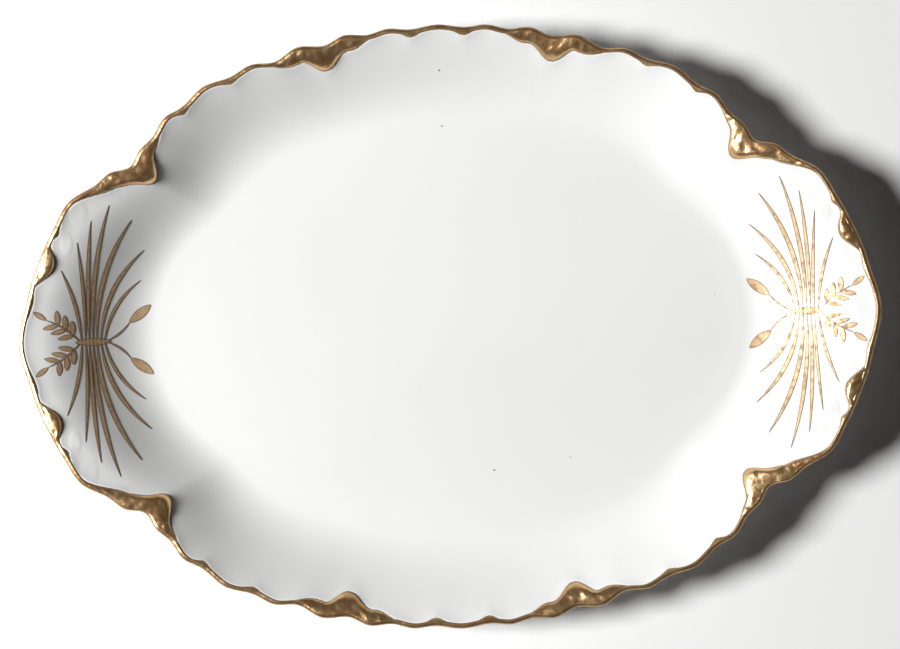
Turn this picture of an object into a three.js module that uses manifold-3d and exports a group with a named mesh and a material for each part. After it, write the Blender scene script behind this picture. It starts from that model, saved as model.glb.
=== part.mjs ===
// Oval serving platter in white glazed porcelain with a raised gilt border.
// Millimetres, +Z up, +X along the length. The origin is the middle of the plane that it stands on.
import * as THREE from 'three';
import { mergeVertices } from 'three/addons/utils/BufferGeometryUtils.js';
import Module from 'manifold-3d';

// Overall sizes
const LENGTH = 406;
const WIDTH = 285;
const SIDE_RIM_HEIGHT = 33;
const END_RIM_HEIGHT = 36;
const FOOT_HEIGHT = 4;

// Porcelain body
const WELL_LENGTH = 282;
const WELL_WIDTH = 200;
const FLOOR_THICKNESS = 4.5;
const FLOOR_CROWN = 1;
const WALL_THICKNESS = 4;
const EDGE_THICKNESS = 2.6;
const SIDE_RIM_SLOPE = 0.55;
const END_RIM_SLOPE = 0.27;
// The wall is curved over this share of its run, and goes on straight from there to the rim
const SIDE_CURVED_SHARE = 1;
const END_CURVED_SHARE = 0.85;
const CORNER_CURVED_LOSS = 0.2;
const FLUTE_DEPTH = 0.45;
const FLUTE_REACH = 5;

// The wall leans in below each corner notch, at this angle from the long axis
const CORNER_ANGLE = THREE.MathUtils.degToRad(37);
const CORNER_SPREAD = THREE.MathUtils.degToRad(11);
const CORNER_DENT = 5;

// The profile turns from the long sides to the flatter ends between these two angles
const END_ANGLE = THREE.MathUtils.degToRad(20);
const SIDE_ANGLE = THREE.MathUtils.degToRad(44);

// Foot ring
const FOOT_INSET = 15;
const FOOT_RING_WIDTH = 5;
const FOOT_TAPER = 1.1;
const FOOT_SEGMENTS = 96;

// Gilding
const GILT_THICKNESS = 0.9;
const GILT_EDGE = 0.45;
const GILT_SKIRT = 1.8;
const LIP_WIDTH = 2.6;
// How far the middle of a cartouche swells up, as a share of its depth
const CUSHION_SHARE = 0.2;
const SEAT_GAP = 0.3;

// Scalloped rim, one quarter from the middle of the long side to the tip of the end:
// the points where scallops meet, as shares of the half length and half width
const RIM_DIPS = [
  [0.063, 0.988], [0.164, 0.976], [0.265, 0.947], [0.380, 0.901], [0.486, 0.856], [0.598, 0.767],
  [0.671, 0.670], [0.727, 0.574], [0.811, 0.515], [0.907, 0.380], [0.940, 0.287], [0.975, 0.149],
];
// How far each scallop between two of those dips swells beyond the line that joins them
const SCALLOP_RISE = [1.6, 2.3, 3, 2.2, 2.7, 2.3, 1.1, 1.9, 3.5, 0.3, 0.7];

// Swellings of the gilt border. Rim stations count 1 for each step from a dip to the next crest:
// 0 is the middle of the long side, odd numbers are dips and the last one is the tip of the end.
// Each swelling has its station, its depth and its reach before and after, in stations.
const KNUCKLES = [[1, 1.4, 0.5, 0.5], [9.15, 1.1, 0.45, 0.45], [11.25, 1.3, 0.45, 0.45],
  [19.3, 1.2, 0.5, 0.5], [23.15, 0.8, 0.4, 0.4]];
const CARTOUCHES = {
  side: [[3.95, 5.1, 1.15, 1.2], [5.4, 9.7, 1.35, 0.8], [6.2, 4.8, 0.95, 1.2]],
  corner: [[14.15, 4.1, 1.65, 1.2], [15.65, 13, 2.1, 1.2], [16.65, 5, 0.75, 1.7]],
  end: [[21.5, 5.4, 1.55, 1.1]],
};

// Gilt spray on each end wall, half of it. A point is its share of the way from the edge of the well
// out to the tip, and its share of the half width. A stroke has its start, its end, and in millimetres
// its sideways bow and greatest width.
const BLADES = [
  [[0.385, 0.002], [0.1, 0.2], -3.5, 1.5], [[0.412, 0.002], [0.06, 0.3], -5, 1.9],
  [[0.439, 0.002], [0.13, 0.4], -5, 2.1], [[0.466, 0.002], [0.28, 0.45], -3, 1.9],
  [[0.493, 0.002], [0.42, 0.4], -1.2, 1.7], [[0.52, 0.002], [0.53, 0.33], 0.5, 1.4],
  [[0.547, 0.002], [0.66, 0.24], 1.5, 1.5],
];
const SPRIG_STEM = [[0.56, 0.002], [0.79, 0.078], 1.2, 1];
const BUD_STEM = [[0.37, 0.002], [0.2, 0.06], 1, 1];
const TIE = [[0.34, 0], [0.59, 0], 0, 4];
const SPRIG_LEAVES = 3;
// Steps from the last pair of leaves to the end of the stem. A step goes from one pair to the next,
// and a leaf has its length and width as shares of it.
const BARE_TIP_STEPS = 1.4;
const LEAF_LENGTH_SHARE = 1.7;
const LEAF_WIDTH_SHARE = 0.62;
const LEAF_SPREAD = THREE.MathUtils.degToRad(50);
const BUD_LENGTH = 13;
const BUD_WIDTH = 4.6;
const TIP_OVERLAP = 1;
// Thickness of the strokes, which all lie level with the middle of the tie
const TIE_THICKNESS = 0.7;
const STEM_THICKNESS = 0.4;
const LEAF_THICKNESS = 0.2;
const BLADE_STEPS = 5;
const STEM_STEPS = 4;
const LEAF_STEPS = 2;
// Half width of a stroke at its root and tip, as a share of its greatest width
const ROOT_SHARE = 0.17;

// Fineness of the faceted solids
const STEPS_PER_STATION = 2;
const CARTOUCHE_STEPS_PER_STATION = 4;
const WALL_STEPS = 7;
const UNDERSIDE_STEPS = 4;
const FLOOR_RINGS = [0.35, 0.7];

const FLOOR_TOP = FOOT_HEIGHT + FLOOR_THICKNESS;
const EDGE_INSET = GILT_EDGE + SEAT_GAP;

// Rim outline: dips and crests of one quarter, mirrored to the whole loop
function quarterOfRim() {
  const dips = RIM_DIPS.map(([along, across]) => new THREE.Vector2(along * LENGTH / 2, across * WIDTH / 2));
  const points = [new THREE.Vector2(0, WIDTH / 2)];
  SCALLOP_RISE.forEach((rise, i) => {
    const chord = dips[i + 1].clone().sub(dips[i]).normalize();
    const crest = dips[i].clone().lerp(dips[i + 1], 0.5);
    crest.x -= chord.y * rise;
    crest.y += chord.x * rise;
    points.push(dips[i], crest);
  });
  points.push(dips[dips.length - 1], new THREE.Vector2(LENGTH / 2, 0));
  return points;
}

const quarter = quarterOfRim();
const QUARTER_STATIONS = quarter.length - 1;
const STATIONS = 4 * QUARTER_STATIONS;
const mirrored = (sx, sy) => quarter.map((point) => new THREE.Vector2(sx * point.x, sy * point.y));
const rimPoints = [
  ...quarter.slice(0, -1),
  ...mirrored(1, -1).reverse().slice(0, -1),
  ...mirrored(-1, -1).slice(0, -1),
  ...mirrored(-1, 1).reverse().slice(0, -1),
];

// Smooth curve through the rim points
function rimAt(station) {
  const i = Math.floor(station);
  const at = (k) => rimPoints[(i + k + STATIONS) % STATIONS];
  const curve = new THREE.SplineCurve([at(-1), at(0), at(1), at(2)]);
  return curve.getPoint((1 + station - i) / 3);
}

// Station folded back into the first quarter
function foldedStation(station) {
  const half = 2 * QUARTER_STATIONS;
  const inHalf = ((station % half) + half) % half;
  return Math.min(inHalf, half - inHalf);
}

const swelling = (station, [middle, depth, before, after]) => {
  const offset = (station - middle) / (station < middle ? before : after);
  return Math.abs(offset) < 1 ? depth * 0.5 * (1 + Math.cos(Math.PI * offset)) : 0;
};
const swellings = (station, list) => list.reduce((sum, one) => sum + swelling(station, one), 0);
const lipWidth = (station) => LIP_WIDTH + swellings(foldedStation(station), KNUCKLES);

// Line in plan that one cross-section stands on, from the rim inward to the edge of the well
function wallLine(station) {
  const rim = rimAt(station);
  const angle = Math.atan2(rim.y / WELL_WIDTH, rim.x / WELL_LENGTH);
  const fromLongAxis = Math.atan2(Math.abs(Math.sin(angle)), Math.abs(Math.cos(angle)));
  const well = new THREE.Vector2(Math.cos(angle) * WELL_LENGTH / 2, Math.sin(angle) * WELL_WIDTH / 2);
  const atCorner = Math.exp(-(((fromLongAxis - CORNER_ANGLE) / CORNER_SPREAD) ** 2));
  well.setLength(well.length() - CORNER_DENT * atCorner);
  const inward = well.clone().sub(rim);
  const run = inward.length();
  return { rim, well, inward: inward.normalize(), run, fromLongAxis, atCorner };
}

// One cross-section of the wall. Its curve runs to an even edge, and the scallops are cut from it.
function section(station) {
  const { rim, well, inward, run, fromLongAxis, atCorner } = wallLine(station);
  const evenRun = (wallLine(station - 1).run + 2 * run + wallLine(station + 1).run) / 4;
  const side = THREE.MathUtils.smoothstep(fromLongAxis, END_ANGLE, SIDE_ANGLE);
  const rimHeight = THREE.MathUtils.lerp(END_RIM_HEIGHT, SIDE_RIM_HEIGHT, side);
  const rise = rimHeight - GILT_THICKNESS - SEAT_GAP - FLOOR_TOP;
  const slope = THREE.MathUtils.lerp(END_RIM_SLOPE, SIDE_RIM_SLOPE, side);
  const evenShare = THREE.MathUtils.lerp(END_CURVED_SHARE, SIDE_CURVED_SHARE, side);
  const curved = evenShare - CORNER_CURVED_LOSS * atCorner;
  const climb = slope * evenRun;
  const flute = -FLUTE_DEPTH * Math.cos(Math.PI * station);
  const height = (depth) => {
    const part = (run - depth) / evenRun;
    const bend = Math.min(part / curved, 1);
    const ramp = curved * bend ** 3 * (1 - bend / 2) + Math.max(part - curved, 0);
    const wall = (rise - climb * (1 - curved / 2)) * (3 - 2 * bend) * bend ** 2 + climb * ramp;
    return FLOOR_TOP + wall + flute * part ** 2 * Math.exp(-depth / FLUTE_REACH);
  };
  const point = (depth, z) => [rim.x + inward.x * depth, rim.y + inward.y * depth, z];
  return { station, run, well, height, point };
}

const sections = [];
for (let i = 0; i < STATIONS * STEPS_PER_STATION; i += 1) {
  sections.push(section(i / STEPS_PER_STATION));
}

// Closed solid from loops of points: neighbouring loops are joined by faces, point by point.
// A ring closes on its first loop, and a bar gets a flat cap at each end.
function solidFromLoops(loops, isRing) {
  const size = loops[0].length;
  const faces = [];
  const last = isRing ? loops.length : loops.length - 1;
  for (let i = 0; i < last; i += 1) {
    for (let k = 0; k < size; k += 1) {
      const a = i * size + k;
      const b = i * size + ((k + 1) % size);
      const c = ((i + 1) % loops.length) * size + ((k + 1) % size);
      const d = ((i + 1) % loops.length) * size + k;
      faces.push(a, b, c, a, c, d);
    }
  }
  if (!isRing) {
    const end = (loops.length - 1) * size;
    for (let k = 1; k + 1 < size; k += 1) {
      faces.push(0, k + 1, k);
      faces.push(end, end + k, end + k + 1);
    }
  }
  return geometryFrom(loops.flat(2), faces);
}

// Geometry with its faces turned outward
function geometryFrom(positions, faces) {
  const corner = (index) => new THREE.Vector3().fromArray(positions, 3 * index);
  let volume = 0;
  for (let i = 0; i < faces.length; i += 3) {
    volume += corner(faces[i]).dot(corner(faces[i + 1]).cross(corner(faces[i + 2])));
  }
  const geometry = new THREE.BufferGeometry();
  geometry.setAttribute('position', new THREE.Float32BufferAttribute(positions, 3));
  geometry.setIndex(volume < 0 ? [...faces].reverse() : faces);
  geometry.computeVertexNormals();
  return geometry;
}

// Porcelain body: rings from the middle of the floor over the rim to the middle of the underside
function porcelainGeometry() {
  const underside = ({ run, height, point }, depth) => {
    const step = 0.01;
    const slope = (height(depth + step) - height(depth - step)) / (2 * step);
    const part = 1 - depth / run;
    const thickness = THREE.MathUtils.lerp(WALL_THICKNESS, EDGE_THICKNESS, part ** 2);
    const lean = Math.hypot(1, slope);
    const z = height(depth) - thickness / lean;
    return point(depth + slope * thickness / lean, Math.max(z, FOOT_HEIGHT));
  };
  const rings = FLOOR_RINGS.map((share) => sections.map(({ well }) => (
    [well.x * share, well.y * share, FLOOR_TOP + FLOOR_CROWN * (1 - share ** 2)])));
  for (let i = 0; i <= WALL_STEPS; i += 1) {
    rings.push(sections.map(({ run, height, point }) => {
      const depth = run + (EDGE_INSET + EDGE_THICKNESS / 3 - run) * i / WALL_STEPS;
      return point(depth, height(depth));
    }));
  }
  for (const drop of [EDGE_THICKNESS / 3, EDGE_THICKNESS * 2 / 3]) {
    rings.push(sections.map(({ height, point }) => point(EDGE_INSET, height(EDGE_INSET) - drop)));
  }
  for (let i = 0; i < UNDERSIDE_STEPS; i += 1) {
    rings.push(sections.map((one) => (
      underside(one, EDGE_INSET + EDGE_THICKNESS / 3 + (one.run - EDGE_INSET) * i / UNDERSIDE_STEPS))));
  }
  rings.push(sections.map(({ well }) => [well.x, well.y, FOOT_HEIGHT]));
  const around = sections.length;
  const positions = rings.flat(2);
  const faces = [];
  for (let r = 0; r + 1 < rings.length; r += 1) {
    for (let i = 0; i < around; i += 1) {
      const next = (i + 1) % around;
      faces.push(r * around + i, r * around + next, (r + 1) * around + next);
      faces.push(r * around + i, (r + 1) * around + next, (r + 1) * around + i);
    }
  }
  const top = positions.length / 3;
  positions.push(0, 0, FLOOR_TOP + FLOOR_CROWN, 0, 0, FOOT_HEIGHT);
  const lastRing = (rings.length - 1) * around;
  for (let i = 0; i < around; i += 1) {
    const next = (i + 1) % around;
    faces.push(top, next, i);
    faces.push(top + 1, lastRing + i, lastRing + next);
  }
  return geometryFrom(positions, faces);
}

const porcelain = porcelainGeometry();

// Height of the porcelain straight below a point
const body = new THREE.Mesh(porcelain, new THREE.MeshBasicMaterial({ side: THREE.DoubleSide }));
const down = new THREE.Vector3(0, 0, -1);
function surfaceHeight(x, y) {
  const above = new THREE.Vector3(x, y, END_RIM_HEIGHT + FOOT_HEIGHT);
  return new THREE.Raycaster(above, down).intersectObject(body)[0].point.z;
}

// Foot ring: a plain oval ring with a flat foot, its top against the flat underside
function footGeometry() {
  const loops = Array.from({ length: FOOT_SEGMENTS }, (_, i) => {
    const angle = 2 * Math.PI * i / FOOT_SEGMENTS;
    const at = (inset, z) => [
      Math.cos(angle) * (WELL_LENGTH / 2 - FOOT_INSET - inset),
      Math.sin(angle) * (WELL_WIDTH / 2 - FOOT_INSET - inset), z];
    return [
      at(0, FOOT_HEIGHT),
      at(FOOT_TAPER, 0),
      at(FOOT_RING_WIDTH - FOOT_TAPER, 0),
      at(FOOT_RING_WIDTH, FOOT_HEIGHT),
    ];
  });
  return solidFromLoops(loops, true);
}

// Gilt lip: a bead on the rim with a short skirt over its edge
function lipGeometry() {
  const loops = sections.map(({ station, height, point }) => {
    const width = lipWidth(station);
    const seat = height(width) + SEAT_GAP;
    const edge = height(EDGE_INSET) + SEAT_GAP;
    return [
      point(width, seat),
      point(width, seat + GILT_THICKNESS / 2),
      point(width / 2, height(width / 2) + SEAT_GAP + GILT_THICKNESS),
      point(0, edge),
      point(0, edge - GILT_SKIRT),
      point(GILT_EDGE, edge - GILT_SKIRT),
      point(GILT_EDGE, edge),
    ];
  });
  return solidFromLoops(loops, true);
}

// Gilt cartouche: a raised cushion between the lip and its own scrolled edge
function cartoucheGeometry(swellingList, quarterIndex) {
  const first = Math.min(...swellingList.map(([middle, , before]) => middle - before));
  const last = Math.max(...swellingList.map(([middle, , , after]) => middle + after));
  const turned = quarterIndex % 2 === 1;
  const start = (quarterIndex + (turned ? 1 : 0)) * QUARTER_STATIONS;
  const loops = [];
  const firstStep = Math.ceil(first * CARTOUCHE_STEPS_PER_STATION);
  const lastStep = Math.floor(last * CARTOUCHE_STEPS_PER_STATION);
  for (let i = firstStep; i <= lastStep; i += 1) {
    const station = i / CARTOUCHE_STEPS_PER_STATION;
    const depth = swellings(station, swellingList) - SEAT_GAP;
    if (depth >= GILT_THICKNESS) {
      const { point } = section(turned ? start - station : start + station);
      const outer = lipWidth(station) + SEAT_GAP;
      const at = (share, lift) => {
        const [x, y] = point(outer + depth * share);
        return [x, y, surfaceHeight(x, y) + SEAT_GAP + lift];
      };
      loops.push([
        at(0, 0), at(0, GILT_THICKNESS), at(0.5, GILT_THICKNESS + CUSHION_SHARE * depth),
        at(1, GILT_THICKNESS / 2), at(1, 0), at(0.5, 0),
      ]);
    }
  }
  return solidFromLoops(loops, false);
}

// A point of the spray on the right end wall, from its shares
function onEndWall([outward, sideways]) {
  const x = THREE.MathUtils.lerp(WELL_LENGTH, LENGTH, outward) / 2;
  return new THREE.Vector2(x, sideways * WIDTH / 2);
}

// Middle line of a bowed stroke
function strokeLine(from, to, bow) {
  const along = to.clone().sub(from).normalize();
  const across = new THREE.Vector2(-along.y, along.x);
  const at = (part) => from.clone().lerp(to, part).addScaledVector(across, 4 * bow * part * (1 - part));
  return { along, across, at };
}

// One painted stroke: a bowed leaf shape that lies on the wall
function strokeGeometry({ from, to, bow, width, thickness, steps }) {
  const { across, at } = strokeLine(from, to, bow);
  const seat = SEAT_GAP + (TIE_THICKNESS - thickness) / 2;
  const loops = [];
  for (let i = 0; i <= steps; i += 1) {
    const part = i / steps;
    const half = width * (ROOT_SHARE + (0.5 - ROOT_SHARE) * Math.sin(Math.PI * part));
    const corner = (side, lift) => {
      const spot = at(part).addScaledVector(across, side * half);
      return [spot.x, spot.y, surfaceHeight(spot.x, spot.y) + seat + lift];
    };
    loops.push([corner(-1, 0), corner(1, 0), corner(1, thickness), corner(-1, thickness)]);
  }
  return solidFromLoops(loops, false);
}

// Strokes of one spray: blades, a leafy sprig and a bud, mirrored to the other side of the long axis
function sprayStrokes() {
  const stroke = ([start, end, bow, width], thickness, steps) => (
    { from: onEndWall(start), to: onEndWall(end), bow, width, thickness, steps });
  const leaf = (from, along, length, width) => {
    const to = from.clone().addScaledVector(along, length);
    return { from, to, bow: 0, width, thickness: LEAF_THICKNESS, steps: LEAF_STEPS };
  };
  const sprig = stroke(SPRIG_STEM, STEM_THICKNESS, STEM_STEPS);
  const budStem = stroke(BUD_STEM, STEM_THICKNESS, STEM_STEPS);
  const half = [sprig, budStem, ...BLADES.map((blade) => stroke(blade, STEM_THICKNESS, BLADE_STEPS))];
  const sprigLine = strokeLine(sprig.from, sprig.to, sprig.bow);
  const leafSteps = SPRIG_LEAVES + BARE_TIP_STEPS;
  const leafStep = sprig.from.distanceTo(sprig.to) / leafSteps;
  const leafLength = LEAF_LENGTH_SHARE * leafStep;
  const leafWidth = LEAF_WIDTH_SHARE * leafStep;
  for (let i = 1; i <= SPRIG_LEAVES; i += 1) {
    for (const side of [-1, 1]) {
      const lean = sprigLine.along.angle() + side * LEAF_SPREAD;
      const along = new THREE.Vector2(Math.cos(lean), Math.sin(lean));
      half.push(leaf(sprigLine.at(i / leafSteps), along, leafLength, leafWidth));
    }
  }
  const tipLeaf = (stem, length, width) => {
    const { along } = strokeLine(stem.from, stem.to, stem.bow);
    half.push(leaf(stem.to.clone().addScaledVector(along, -TIP_OVERLAP), along, length, width));
  };
  tipLeaf(sprig, leafLength, leafWidth);
  tipLeaf(budStem, BUD_LENGTH, BUD_WIDTH);
  const flip = (point) => new THREE.Vector2(point.x, -point.y);
  const other = half.map((one) => ({ ...one, from: flip(one.from), to: flip(one.to), bow: -one.bow }));
  return [...half, ...other, stroke(TIE, TIE_THICKNESS, STEM_STEPS)];
}

const wasm = await Module();
wasm.setup();

function manifoldFrom(geometry) {
  const bare = geometry.clone();
  bare.deleteAttribute('normal');
  const merged = mergeVertices(bare, 1e-4);
  return new wasm.Manifold(new wasm.Mesh({
    numProp: 3,
    vertProperties: new Float32Array(merged.attributes.position.array),
    triVerts: new Uint32Array(merged.index.array),
  }));
}

// Gilt spray: its strokes joined into one piece
function sprayGeometry() {
  const [first, ...rest] = sprayStrokes().map((stroke) => manifoldFrom(strokeGeometry(stroke)));
  const joined = rest.reduce((sum, solid) => sum.add(solid), first).getMesh();
  return geometryFrom(Array.from(joined.vertProperties), Array.from(joined.triVerts));
}

// Materials
const glaze = () => new THREE.MeshStandardMaterial({ color: 0xf1efec, roughness: 0.12, metalness: 0 });
const bareBisque = () => new THREE.MeshStandardMaterial({ color: 0xe4ddd2, roughness: 0.75, metalness: 0 });
const gold = () => new THREE.MeshStandardMaterial({ color: 0xc0935e, roughness: 0.28, metalness: 1 });
const paintedGold = () => new THREE.MeshStandardMaterial({ color: 0xb88a4e, roughness: 0.4, metalness: 1 });

const platter = new THREE.Group();

function place(name, geometry, material) {
  const mesh = new THREE.Mesh(geometry, material);
  mesh.name = name;
  platter.add(mesh);
  return mesh;
}

place('porcelain_body', porcelain, glaze());
place('foot_ring', footGeometry(), bareBisque());
place('gilt_lip', lipGeometry(), gold());

const QUARTER_NAMES = ['back_right', 'front_right', 'front_left', 'back_left'];
for (const [kind, swellingList] of Object.entries(CARTOUCHES)) {
  QUARTER_NAMES.forEach((where, quarterIndex) => {
    place(`gilt_${kind}_cartouche_${where}`, cartoucheGeometry(swellingList, quarterIndex), gold());
  });
}

// The left end carries the same spray, turned half way round
place('gilt_spray_right', sprayGeometry(), paintedGold());
place('gilt_spray_left', sprayGeometry(), paintedGold()).scale.set(-1, -1, 1);

export default platter;
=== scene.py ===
# %% [markdown]
# # An oval serving platter
#
# The object is a porcelain platter with a scalloped rim, a raised gilt border and a gilt spray on
# each end wall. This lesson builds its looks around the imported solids, one piece at a time.
# The first cell loads those solids as a fixed frame and keeps the box that they fill, because
# nothing made here may stand outside that box.

# %% Load the frame
import math

import bmesh
import bpy
import numpy as np
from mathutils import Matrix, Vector, noise


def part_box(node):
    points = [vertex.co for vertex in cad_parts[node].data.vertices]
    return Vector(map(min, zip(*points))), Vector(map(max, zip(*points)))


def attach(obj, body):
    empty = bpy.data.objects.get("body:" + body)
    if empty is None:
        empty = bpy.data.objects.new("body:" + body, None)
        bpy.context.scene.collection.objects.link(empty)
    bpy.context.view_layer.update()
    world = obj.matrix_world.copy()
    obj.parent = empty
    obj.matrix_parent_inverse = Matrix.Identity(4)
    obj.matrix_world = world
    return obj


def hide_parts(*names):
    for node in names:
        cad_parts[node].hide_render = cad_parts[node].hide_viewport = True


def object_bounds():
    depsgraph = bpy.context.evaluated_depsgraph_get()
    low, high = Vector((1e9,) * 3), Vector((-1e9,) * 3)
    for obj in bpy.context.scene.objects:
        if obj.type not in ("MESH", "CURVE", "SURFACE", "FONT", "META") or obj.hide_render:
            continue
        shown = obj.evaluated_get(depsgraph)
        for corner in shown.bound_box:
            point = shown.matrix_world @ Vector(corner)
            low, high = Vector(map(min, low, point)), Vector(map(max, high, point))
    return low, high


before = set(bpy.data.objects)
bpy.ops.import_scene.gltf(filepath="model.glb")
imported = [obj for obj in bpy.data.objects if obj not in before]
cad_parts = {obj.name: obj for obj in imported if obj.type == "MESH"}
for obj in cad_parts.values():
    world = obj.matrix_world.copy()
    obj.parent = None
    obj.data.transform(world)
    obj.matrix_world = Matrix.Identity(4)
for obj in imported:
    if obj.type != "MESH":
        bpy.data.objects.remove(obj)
cad_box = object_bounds()
cad_low, cad_high = (np.array(corner) for corner in cad_box)
bpy.ops.object.select_all(action="DESELECT")
print("nodes in the frame:", len(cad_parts))
print("box of the solids in mm:", np.round((cad_high - cad_low) * 1000, 1))

# %% [markdown]
# ## The rim
#
# Seen from above, the rim is a row of shallow scallops on a long oval that narrows to a tab at each
# end. One quarter is enough, since the platter mirrors about both of its middle planes. Drawing every
# point of the edge would be slow to change, so the quarter keeps only the dips where scallops meet and
# how far each scallop swells between them. A smooth spline then runs through dips and crests.
# A station is one step from a dip to the next crest, counted from the middle of the long side.

# %% Rim sizes and the spline through them
MM = 0.001
LENGTH, WIDTH = (cad_high - cad_low)[:2]
RIM_DIPS = [
    (0.063, 0.988), (0.164, 0.976), (0.265, 0.947), (0.380, 0.901), (0.486, 0.856), (0.598, 0.767),
    (0.671, 0.670), (0.727, 0.574), (0.811, 0.515), (0.907, 0.380), (0.940, 0.287), (0.975, 0.149),
]
SCALLOP_RISE = np.array([1.6, 2.3, 3, 2.2, 2.7, 2.3, 1.1, 1.9, 3.5, 0.3, 0.7]) * MM


def quarter_of_rim():
    dips = np.array(RIM_DIPS) * (LENGTH / 2, WIDTH / 2)
    points = [(0, WIDTH / 2)]
    for dip, following, rise in zip(dips, dips[1:], SCALLOP_RISE):
        chord = (following - dip) / np.linalg.norm(following - dip)
        points += [dip, (dip + following) / 2 + rise * np.array((-chord[1], chord[0]))]
    return np.array(points + [dips[-1], (LENGTH / 2, 0)])


quarter = quarter_of_rim()
QUARTER_STATIONS = len(quarter) - 1
STATIONS = 4 * QUARTER_STATIONS
rim_points = np.concatenate([
    quarter[:-1],
    (quarter * (1, -1))[:0:-1],
    (quarter * (-1, -1))[:-1],
    (quarter * (-1, 1))[:0:-1],
])


def rim_at(stations):
    """Points of the edge at the given stations, on a Catmull-Rom spline."""
    first = np.floor(stations).astype(int)
    f = (stations - first)[:, None]
    a, b, c, d = (rim_points[(first + k) % STATIONS] for k in (-1, 0, 1, 2))
    return (2 * b + (c - a) * f + (2 * a - 5 * b + 4 * c - d) * f**2 + (3 * b - a - 3 * c + d) * f**3) / 2


print("stations round the rim:", STATIONS)

# %% [markdown]
# ## The wall
#
# Every section of the wall stands on a line that runs from the rim inward to the edge of the well.
# On the long sides the wall climbs steadily, and at the ends it flattens into a tab to hold.
# A curve that is level at the well and then runs on straight to the rim gives both: at the sides it
# bends all the way, at the ends it has done bending before the rim, and the corner sections
# blend between them. The curve is set out to an even edge, with the scallops cut from it, so that the
# wall stays smooth: only a short flute fades out below each scallop. A soft crease runs down from each
# corner notch, where the edge of the well is drawn in.

# %% Wall sizes and its sections
FOOT_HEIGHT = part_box("foot_ring")[1][2]
FLOOR_THICKNESS, FLOOR_CROWN = 4.5 * MM, 1 * MM
FLOOR_TOP = FOOT_HEIGHT + FLOOR_THICKNESS
WELL_LENGTH, WELL_WIDTH = 282 * MM, 200 * MM
SIDE_RIM_HEIGHT, END_RIM_HEIGHT = 33 * MM, 36 * MM
SIDE_RIM_SLOPE, END_RIM_SLOPE = 0.55, 0.27
SIDE_CURVED, END_CURVED, CORNER_CURVED_LOSS = 1, 0.85, 0.2
CORNER_ANGLE, CORNER_SPREAD, CORNER_DENT = math.radians(37), math.radians(11), 5 * MM
END_ANGLE, SIDE_ANGLE = math.radians(20), math.radians(44)
FLUTE_DEPTH, FLUTE_REACH = 0.45 * MM, 5 * MM
GILT_LIFT = 1.2 * MM


def smooth_step(x, low, high):
    part = np.clip((x - low) / (high - low), 0, 1)
    return part * part * (3 - 2 * part)


class Sections:
    """Cross-sections of the wall at a row of stations."""

    def __init__(self, stations):
        self.stations = np.asarray(stations, float)
        self.rim, self.well, self.run, from_long_axis, at_corner = self.lines(self.stations)
        self.inward = (self.well - self.rim) / self.run[:, None]
        before, after = (self.lines(self.stations + step)[2] for step in (-1, 1))
        self.even_run = (before + 2 * self.run + after) / 4
        side = smooth_step(from_long_axis, END_ANGLE, SIDE_ANGLE)
        self.rise = END_RIM_HEIGHT + (SIDE_RIM_HEIGHT - END_RIM_HEIGHT) * side - GILT_LIFT - FLOOR_TOP
        self.slope = END_RIM_SLOPE + (SIDE_RIM_SLOPE - END_RIM_SLOPE) * side
        self.curved = END_CURVED + (SIDE_CURVED - END_CURVED) * side - CORNER_CURVED_LOSS * at_corner
        self.flute = -FLUTE_DEPTH * np.cos(np.pi * self.stations)

    def lines(self, stations):
        """Rim points, well points, distances between them, angles from the long axis, shares of a corner."""
        rim = rim_at(stations)
        angle = np.arctan2(rim[:, 1] / WELL_WIDTH, rim[:, 0] / WELL_LENGTH)
        from_long_axis = np.arctan2(np.abs(np.sin(angle)), np.abs(np.cos(angle)))
        well = np.stack([np.cos(angle) * WELL_LENGTH, np.sin(angle) * WELL_WIDTH], 1) / 2
        at_corner = np.exp(-(((from_long_axis - CORNER_ANGLE) / CORNER_SPREAD) ** 2))
        well *= (1 - CORNER_DENT * at_corner / np.linalg.norm(well, axis=1))[:, None]
        return rim, well, np.linalg.norm(well - rim, axis=1), from_long_axis, at_corner

    def height(self, depth):
        part = (self.run - depth) / self.even_run
        bend = np.minimum(part / self.curved, 1)
        climb = self.slope * self.even_run
        ramp = self.curved * bend**3 * (1 - bend / 2) + np.maximum(part - self.curved, 0)
        wall = (self.rise - climb * (1 - self.curved / 2)) * (3 - 2 * bend) * bend**2 + climb * ramp
        return FLOOR_TOP + wall + self.flute * part**2 * np.exp(-depth / FLUTE_REACH)

    def point(self, depth, z):
        plan = self.rim + self.inward * np.broadcast_to(depth, self.run.shape)[:, None]
        return np.column_stack([plan, np.broadcast_to(z, self.run.shape)])

    def on_wall(self, depth, lift=0):
        return self.point(depth, self.height(depth) + lift)


STEPS_PER_STATION = 10
sections = Sections(np.arange(STATIONS * STEPS_PER_STATION) / STEPS_PER_STATION)
print("sections round the platter:", len(sections.stations))

# %% [markdown]
# ## Where the gold ends
#
# The gilt border has a lip of even width that swells inward, into small knuckles and into the wide
# scrolls of the cartouches. A swelling is one wave of a cosine, with its station, its depth in
# millimetres and its reach before and after in stations. Lying side by side, a few of them draw
# a scroll. A drawn curve would be freer, but waves follow the rim when a size changes.

# %% Where the gold ends
LIP_WIDTH = 2.6 * MM
KNUCKLES = [
    (1, 1.4, 0.5, 0.5), (9.15, 1.1, 0.45, 0.45), (11.25, 1.3, 0.45, 0.45), (19.3, 1.2, 0.5, 0.5),
    (23.15, 0.8, 0.4, 0.4),
]
CARTOUCHES = {
    "side": [(3.95, 5.1, 1.15, 1.2), (5.4, 9.7, 1.35, 0.8), (6.2, 4.8, 0.95, 1.2)],
    "corner": [(14.15, 4.1, 1.65, 1.2), (15.65, 13, 2.1, 1.2), (16.65, 5, 0.75, 1.7)],
    "end": [(21.5, 5.4, 1.55, 1.1)],
}


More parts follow.
